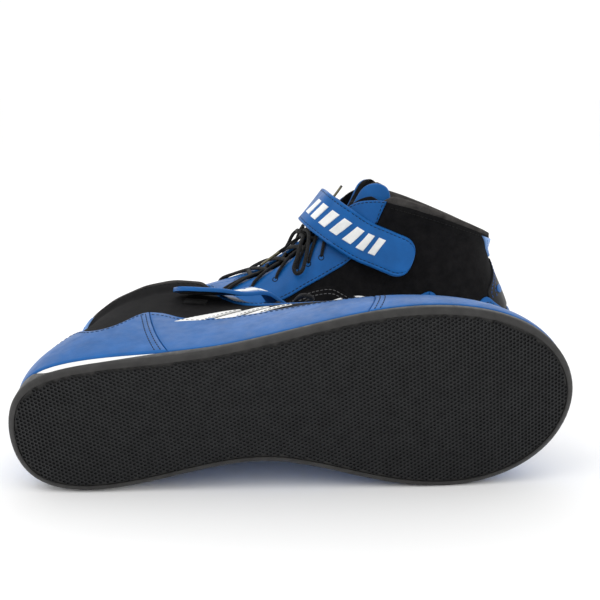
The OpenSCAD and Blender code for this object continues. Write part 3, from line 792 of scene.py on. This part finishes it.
FOX_PIECES = {
    "heel_foxing": ((-4.25, -3.5), (4.25, 3.5)),
    "side_foxing_lateral": ((4.25, 3.5), (7.72, 8.2)),
    "side_foxing_medial": ((-7.72, -8.2), (-4.25, -3.5)),
    "toe_cap": ((7.72, 8.2), (16.28, 15.8)),
}
thread, fine = [], np.linspace(0.004, 0.996, 400)
for name, (le, re) in FOX_PIECES.items():
    corner = fox_piece(le, re)
    point = mapped(corner)
    base = 0.3 if name in ("heel_foxing", "toe_cap") else 0.1
    both(name, *patch(point, 1.2, base, 1.0, 2.2), BLUE, "blue_leather", [name])
    top = base + 1.25
    thread.append(surface_stitches(point, fine, 0.915, top))
    if name in ("heel_foxing", "toe_cap"):
        width = 0.011 if name == "toe_cap" else 0.0125
        for a in (width, 2 * width, 1 - width, 1 - 2 * width):
            thread.append(surface_stitches(point, a, np.linspace(0.03, 0.96, 120), top, thick=0.55))

# Rounded sewn-on suede panel with a double grey seam, and the white patches
HUMP = [
    (3.9, 0.40), (5.0, 0.43), (5.5, 0.47), (5.87, 0.515), (6.17, 0.55), (6.6, 0.565), (7.37, 0.545),
    (8.0, 0.47), (8.5, 0.38),
]
HUMP_START, HUMP_LENGTH, HUMP_END, HUMP_LOW = 5.3, 3.0, 8.3, 0.3
grey = []
for sign in (1, -1):
    def hump_corner(a, b, sign=sign):
        t = HUMP_START + HUMP_LENGTH * a
        t = t if sign > 0 else HUMP_END + HUMP_START - t
        return sign * t, HUMP_LOW + (keyed(t, HUMP) - HUMP_LOW) * b
    point = mapped(hump_corner)
    side_name = "lateral" if sign > 0 else "medial"
    both(f"side_panel_{side_name}", *patch(point, 0.7, 0.05, 0.7, 2.5), SUEDE, "black_suede")
    grey.append(surface_stitches(point, fine, 0.94, 0.8, thick=0.45))
    grey.append(surface_stitches(point, fine, 0.86, 0.8, thick=0.45))


STRIPE_LOW = 0.345
STRIPE_TOP = [(3.6, 0.43), (4.3, 0.485), (5, 0.49), (5.7, 0.47), (6.4, 0.43)]


def stripe(start, width):
    def corner(a, b):
        lean = 1.0 * b**1.3
        t = start + lean + a * (width - 0.25 * b)
        return t, STRIPE_LOW + (keyed(start + a * width, STRIPE_TOP) - STRIPE_LOW) * b
    return corner


STRIPES = ((4.15, 0.66), (4.95, 0.52), (5.6, 0.36))
stripes = [patch(mapped(stripe(s, w)), 0.9, 0.5, 0.7, 2.5) for s, w in STRIPES]
both("side_stripes", *merge(stripes), WHITE, "white_leather", ["side_stripes"])
for s, w in STRIPES:
    point = mapped(stripe(s, w))
    for a in (0.06, 0.94):
        thread.append(surface_stitches(point, a, np.linspace(0.05, 0.95, 60), 1.4, thick=0.4))

EYE_OUT = [
    (4.83, 0.87), (5.3, 0.755), (5.7, 0.68), (6.4, 0.625), (7.13, 0.59), (7.6, 0.56), (8.5, 0.545),
    (9.5, 0.56), (10.5, 0.61), (11.3, 0.67), (12, 0.70),
]


def eyestay_corner(sign):
    def corner(a, b):
        to = 4.83 + (11.99 - 4.83) * a
        ti = 4.53 + (11.99 - 4.53) * a
        vo, vi = keyed(to, EYE_OUT), 0.978 + 0.012 * smooth((ti - 5) / 1)
        return sign * (to + (ti - to) * b), vo + (vi - vo) * b
    return corner


def eyestay_point(sign):
    corner = eyestay_corner(sign)
    def point(a, b, out):
        a = a if sign > 0 else 1 - a
        t, v = corner(a, b)
        return layer(t, v, out + 0.8 * bulge(t, v) * (a < 0.06))
    return point


for sign, name in ((1, "eyestay_lateral"), (-1, "eyestay_medial")):
    point = eyestay_point(sign)
    both(name, *patch(point, 1.2, 0.3, 0.9, 2.2), BLUE, "blue_leather", [name])
    thread.append(surface_stitches(point, fine, 0.055, 1.55))
    thread.append(surface_stitches(point, fine, 0.955, 1.55))
    thread.append(surface_stitches(point, 0.012 if sign > 0 else 0.988, np.linspace(0.05, 0.95, 80), 1.55))


# ---- Collar, heel and lining ----
COLLAR_END = 4.85
ROLL = [
    (0.972, 1.9), (0.984, 2.5), (0.999, 2.3), (1.005, 1.2), (1.007, -0.8), (0.998, -3.0), (0.972, -5.2),
    (0.94, -6.4), (0.915, -7.1), (0.88, -6.4), (0.855, -5.2), (0.87, -4.2), (0.9, -3.4), (0.95, -1.8),
    (0.955, 0.5),
]
roll_t = np.linspace(-COLLAR_END, COLLAR_END, 190)
closed = np.array(ROLL + ROLL[:3], float)
fine_roll = []
for i in range(1, len(ROLL) + 1):
    a, b, c, d = closed[i - 1], closed[i], closed[i + 1], closed[(i + 2) % len(closed)]
    for f in (0, 1 / 3, 2 / 3):
        fine_roll.append(between(a, b, c, d, f))
fine_roll = np.array(fine_roll)
T, S = np.meshgrid(roll_t, np.arange(len(fine_roll)), indexing="ij")
fill = 0.62 + 0.38 * smooth((COLLAR_END - np.abs(T)) / 1.2)
off = fine_roll[S, 1]
crease = 0.25 * np.sin(T * 6.3 + 1.0) * np.sin(T * 2.7 + S * 0.2)
off = np.where(off < -3.5, off * fill, off) + crease * (np.abs(T) < 4.4)
pinch = 0.2 + 0.8 * smooth((COLLAR_END - np.abs(T)) / 0.55)
CORE_SHARE, CORE_OUT = 0.955, -2.4
roll = layer(T, CORE_SHARE + (fine_roll[S, 0] - CORE_SHARE) * pinch, CORE_OUT + (off - CORE_OUT) * pinch)
n, k = roll.shape[:2]
roll_faces = [[i * k + j, (i + 1) * k + j, (i + 1) * k + (j + 1) % k, i * k + (j + 1) % k]
              for i in range(n - 1) for j in range(k)]
roll_faces += [list(range(k)), [(n - 1) * k + j for j in range(k)][::-1]]
made = both("collar_padding", roll.reshape(-1, 3), roll_faces, COLLAR, "collar_suede", ["collar_padding"],
    sharp=None)
thread.append(surface_stitches(suede_point(lambda a, b: (-4.6 + 9.2 * a, b)), np.linspace(0.01, 0.99, 300),
    0.95, 0.1, thick=0.45))


def tab_corner(a, b):
    v = 0.80 + 0.155 * b
    half = 0.82 + 0.8 * b**1.4
    return (2 * a - 1) * half, v


def over_roll(corner):
    def point(a, b, out):
        t, v = corner(a, b)
        return layer(t, v, out + bulge(t, v))
    return point


both("heel_tab", *patch(over_roll(tab_corner), 1.1, 0.15, 0.8, 1.5), PALE, "pale_blue_leather",
    ["heel_tab"])
blue = []
for a in (0.05, 0.95):
    blue.append(surface_stitches(over_roll(tab_corner), a, np.linspace(0.05, 0.95, 60), 1.3, thick=0.4))


def heel_patch_corner(a, b):
    v = 0.34 + 0.44 * b
    half = 1.75 - 1.15 * smooth((v - 0.5) / 0.26)
    return (2 * a - 1) * half, v


point = over_roll(heel_patch_corner)
both("heel_patch", *patch(point, 0.9, 0.1, 0.8, 1.5), BLACK, "black_leather", ["heel_patch"])
for a in (0.05, 0.12, 0.88, 0.95):
    blue.append(surface_stitches(point, a, np.linspace(0.3, 0.97, 100), 1.05, thick=0.45))


def spot_corner(center, size_t, size_v):
    def corner(a, b):
        x, y = 2 * a - 1, 2 * b - 1
        return (center[0] + size_t * x * np.sqrt(1 - y * y / 2),
                center[1] + size_v * y * np.sqrt(1 - x * x / 2))
    return corner


spots = [patch(over_roll(spot_corner((s * 0.95, 0.52), 0.26, 0.035)), 0.6, 0.95, 0.5, 1.2) for s in (1, -1)]
both("heel_spots", *merge(spots), BLUE, "blue_leather")

lin_t = np.arange(4 * AROUND) / 4
shares_up = np.array([0.02, 0.1, 0.2, 0.3, 0.4, 0.5, 0.6, 0.7, 0.78, 0.84, 0.87])


def upper_end(t):
    w = np.minimum(t % AROUND, AROUND - t % AROUND)
    return 0.89 + 0.11 * smooth((w - 4.9) / 0.6)


def lining_wall(out, foot_out):
    rows = []
    foot = rim(lin_t, np.full(len(lin_t), foot_out))
    foot[:, 2] = board_height(spline(0, lin_t)[:, 1]) + 2.4
    rows.append(foot)
    for s in shares_up:
        rows.append(layer(lin_t, s * upper_end(lin_t), out))
    return np.array(rows)


outer, inner = lining_wall(-3.4, -3.1), lining_wall(-4.4, -4.4)
r, n = outer.shape[:2]
verts = np.concatenate([outer.reshape(-1, 3), inner.reshape(-1, 3)])
lf = []
for j in range(r - 1):
    for i in range(n):
        a, b, c, d = j * n + i, j * n + (i + 1) % n, (j + 1) * n + (i + 1) % n, (j + 1) * n + i
        lf.append([a, b, c, d])
        lf.append([r * n + a, r * n + d, r * n + c, r * n + b])
for i in range(n):
    b0, b1, t0, t1 = i, (i + 1) % n, (r - 1) * n + i, (r - 1) * n + (i + 1) % n
    lf.append([b0, r * n + b0, r * n + b1, b1])
    lf.append([t0, t1, r * n + t1, r * n + t0])
both("lining", verts, lf, KNIT, "lining_knit", ["lining"])

both("loop_pad", *patch(mapped(lambda a, b: (4.1 + 0.55 * a, 0.65 + 0.08 * b)), 0.7, 0.4, 0.3, 2), TAPE,
    "fastener_tape", ["loop_pad"])
both("stitching_black", *merge(thread), THREAD, "lace_cord", sharp=None)
both("stitching_grey", *merge(grey), GREY_THREAD, "lace_cord", sharp=None)
both("stitching_blue", *merge(blue), BLUE_THREAD, "lace_cord", sharp=None)

# ---- Tongue ----
TONGUE = np.array([[186, 57, 13, 4], [172, 66, 16, 6], [158, 76, 17, 8], [145, 88, 17, 9],
                   [133, 100, 17, 12], [122, 112, 18, 20], [114, 125, 21, 30], [109, 141, 22, 34]], float)


def tongue_point(row, turn_deg, depth):
    row, turn_deg, depth = np.broadcast_arrays(row, turn_deg, depth)

    def at(x):
        x = np.clip(x, 0, 7)
        i = np.clip(np.floor(x).astype(int), 0, 6)
        f = (x - i)[..., None]
        a, b, c, d = TONGUE[np.maximum(i - 1, 0)], TONGUE[i], TONGUE[i + 1], TONGUE[np.minimum(i + 2, 7)]
        return between(a, b, c, d, f)
    c = at(row)
    lo, hi = at(row - 0.5), at(row + 0.5)
    along = unit(np.stack([0 * row, hi[..., 0] - lo[..., 0], hi[..., 1] - lo[..., 1]], -1))
    into = np.stack([0 * row, -along[..., 2], along[..., 1]], -1)
    k = (row / 7)[..., None]
    back = unit(into * (1 - k) + np.array([0, -1.0, 0]) * k)
    a = np.radians(turn_deg)
    wide, deep = c[..., 2] - depth, c[..., 3] - depth
    p = np.stack([0 * row, c[..., 0], c[..., 1]], -1) + back * (depth + deep * (1 - np.cos(a)))[..., None]
    p[..., 0] += wide * np.sin(a)
    return p


def bend_tongue(side, obj):
    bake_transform(obj)


def tongue_piece(row0, row1, span, drop, dip):
    def point(a, b, out):
        turned = span * (1 - 2 * b)
        end = row1 - drop * np.abs(1 - 2 * b) ** 4 - dip * (1 - smooth((np.abs(turned) - 8) / 34))
        return tongue_point(row0 + (end - row0) * a, turned, -out)
    return point


body = tongue_piece(0.0, 6.98, 78, 1.0, 0.9)
made = both("tongue", *patch(body, 3.6, -3.8, 1.7, 2.0, crown=0.15), SUEDE, "black_suede", ["tongue"],
    after=bend_tongue)


PAD_ROW, PAD_ROWS, PAD_TURN = 5.65, 1.2, 30


def tongue_pad(middle):
    def point(a, b, out):
        x, y = 2 * a - 1, 2 * b - 1
        row = PAD_ROW + PAD_ROWS * x * np.sqrt(1 - y * y / 2)
        return tongue_point(row, middle - PAD_TURN * y * np.sqrt(1 - x * x / 2), -out)
    return point


pads = [patch(tongue_pad(middle), 0.9, 0.0, 0.9, 1.5, crown=0.7) for middle in (47, -47)]
both("tongue_facing", *merge(pads), BLUE, "blue_leather", ["tongue_facing"], after=bend_tongue)

# ---- Ankle strap ----
STRAP = np.array([
    [-33, 98, 98], [-32, 111, 104], [-29.7, 126.2, 113.2], [-18, 137.5, 120.8], [0, 140, 123.2],
    [18.8, 137.5, 120.8], [30.7, 127.2, 113.2], [34.3, 112.3, 103.5], [38.6, 99.3, 98], [42, 87, 93],
    [44.4, 78.5, 90],
], float)


def strap_centre(s):
    n = len(STRAP) - 1
    x = np.asarray(s, float) * n
    i = np.clip(np.floor(x).astype(int), 0, n - 1)
    f = (x - i)[..., None]
    a, b, c, d = STRAP[np.maximum(i - 1, 0)], STRAP[i], STRAP[i + 1], STRAP[np.minimum(i + 2, n)]
    return between(a, b, c, d, f)


def strap_point(s, across, out):
    c = strap_centre(s)
    along = unit(strap_centre(s + 0.005) - strap_centre(s - 0.005))
    k = np.clip(1 - np.abs(c[..., 0]) / 33, 0, 1)
    w = np.stack([-0.3 * smooth((c[..., 0] - 26) / 12), -0.4 - 0.3 * k, 0.92 - 0.22 * k], -1)
    w = unit(w - along * (w * along).sum(-1, keepdims=True))
    return c + w * np.asarray(across)[..., None] - np.cross(along, w) * np.asarray(out)[..., None]


def strap_half(s):
    x = np.clip((s - 0.885) / 0.108, 0, 1)
    return 14 * np.sqrt(1 - x * x)


def strap_piece(s_list, with_end):
    across = np.array([-1, -0.985, -0.95, -0.91, -0.87, -0.84, -0.8, -0.6, -0.3, 0, 0.3, 0.6, 0.8, 0.84,
        0.87, 0.91, 0.95, 0.985, 1])
    rise = np.interp(np.abs(across), [0, 0.8, 0.835, 0.87, 0.93, 0.97, 1],
        [1.35, 1.25, 0.95, 1.15, 1.35, 1.0, 0.2])
    S, A = np.meshgrid(s_list, across, indexing="ij")
    half = np.maximum(strap_half(S), 0.4)
    lift = np.broadcast_to(rise, S.shape).copy()
    if with_end:
        d = np.clip((0.992 - S) / 0.012, 0, 1)
        lift = lift * np.sqrt(np.clip(1 - (1 - d) ** 2, 0.03, 1))
    return slab(strap_point(S, A * half, lift), strap_point(S, A * half * 0.99, np.full(S.shape, -1.2)))


FOLD = 0.644


def bend_open(side, obj):
    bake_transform(obj)


def bend_peel(side, obj):
    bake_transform(obj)


both("strap_wrap", *strap_piece(np.linspace(0.004, FOLD - 0.03, 110), False), BLUE, "blue_leather",
    ["strap_wrap"], after=bend_open)
both("strap_tip", *strap_piece(np.concatenate([np.linspace(FOLD - 0.03, 0.9, 60),
    np.linspace(0.904, 0.98, 24), [0.984, 0.987, 0.9895, 0.9915, 0.992]]), True),
     BLUE, "blue_leather", ["strap_tip"], after=bend_peel)


def strap_seam(s, sign, out=1.05):
    half = np.maximum(strap_half(s) - 2.3, 0)
    p = strap_point(s, sign * half, np.full(s.shape, out))
    n = unit(strap_point(s, sign * half, np.full(s.shape, out + 1)) - p)
    return p, n


s1 = np.linspace(0.02, FOLD - 0.03, 300)
both("strap_wrap_stitching", *merge([stitches(*strap_seam(s1, k), thick=0.5) for k in (1, -1)]), THREAD,
    "lace_cord", sharp=None, after=bend_open)
s2 = np.concatenate([np.linspace(FOLD - 0.03, 0.95, 200),
    0.95 + 0.0195 * np.sin(np.linspace(0, math.pi / 2, 60))])
pa, na = strap_seam(s2, 1)
pb, nb = strap_seam(s2, -1)
both("strap_tip_stitching",
    *stitches(np.concatenate([pa, pb[::-1]]), np.concatenate([na, nb[::-1]]), thick=0.5), THREAD,
    "lace_cord", sharp=None, after=bend_peel)


def bar(start, width, low=-6.3, high=6.3, lean=0.022):
    def point(a, b, out):
        s = start + width * a + lean * (b - 0.5)
        return strap_point(s, low + (high - low) * b, 1.3 + out)
    return point


bars_wrap = [patch(bar(s, 0.034), 0.55, 0.0, 0.5, 1.2) for s in (0.43, 0.485, 0.54, 0.595)]
bars_tip = [patch(bar(s, 0.034), 0.55, 0.0, 0.5, 1.2) for s in (0.65, 0.705, 0.76)]
both("strap_bars_wrap", *merge(bars_wrap), WHITE, "white_leather", after=bend_open)
both("strap_bars_tip", *merge(bars_tip), WHITE, "white_leather", after=bend_peel)


def hook_point(a, b, out):
    return strap_point(0.8 + 0.13 * a, (2 * b - 1) * 9, -1.3 - out)


both("strap_hook_pad", *patch(hook_point, 0.6, 0.0, 0.2, 2), TAPE, "fastener_tape", ["strap_hook_pad"],
    body="strap_end")

# ---- CAD nodes that stay: hidden inside the boots ----
for side in PLACES:
    for node in ("insole_board", "heel_counter", "toe_puff"):
        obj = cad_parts[f"{side}_{node}"]
        co = np.array([v.co for v in obj.data.vertices], float).reshape(-1, 3) / MM
        grain = obj.data.attributes.new("grain", "FLOAT_VECTOR", "POINT")
        grain.data.foreach_set("vector", co.astype(np.float32).ravel())
        obj.data.materials.clear()
        obj.data.materials.append(BOARD)

# ---- Floor and lights ----
FLOOR_HALF = 60.0
floor_mesh = bpy.data.meshes.new("floor")
floor_mesh.from_pydata([(-FLOOR_HALF, -FLOOR_HALF, 0), (FLOOR_HALF, -FLOOR_HALF, 0),
    (FLOOR_HALF, FLOOR_HALF, 0), (-FLOOR_HALF, FLOOR_HALF, 0)], [], [(0, 1, 2, 3)])
floor = bpy.data.objects.new("floor", floor_mesh)
bpy.context.scene.collection.objects.link(floor)
floor_mat, _, _ = material("floor_white", (0.96, 0.96, 0.96), 0.9, Specular_IOR_Level=0.1)
floor_mesh.materials.append(floor_mat)

world = bpy.data.worlds.new("studio")
bpy.context.scene.world = world
world.use_nodes = True
world.node_tree.nodes["Background"].inputs["Color"].default_value = (1, 1, 1, 1)
world.node_tree.nodes["Background"].inputs["Strength"].default_value = 1.05


def area_light(name, location, target, width, power):
    light = bpy.data.lights.new(name, "AREA")
    light.size = width
    light.energy = power
    obj = bpy.data.objects.new(name, light)
    bpy.context.scene.collection.objects.link(obj)
    obj.location = location
    obj.rotation_euler = (Vector(target) - Vector(location)).to_track_quat("-Z", "Y").to_euler()
    return obj


area_light("key", (-0.7, -0.5, 1.1), (0, 0, 0.05), 0.9, 4)
area_light("fill", (0.9, -0.9, 0.7), (0, 0, 0.05), 1.0, 1)
area_light("back", (0.1, 0.9, 0.9), (0, 0.05, 0.05), 1.0, 2)
bpy.context.scene.view_settings.view_transform = "Standard"
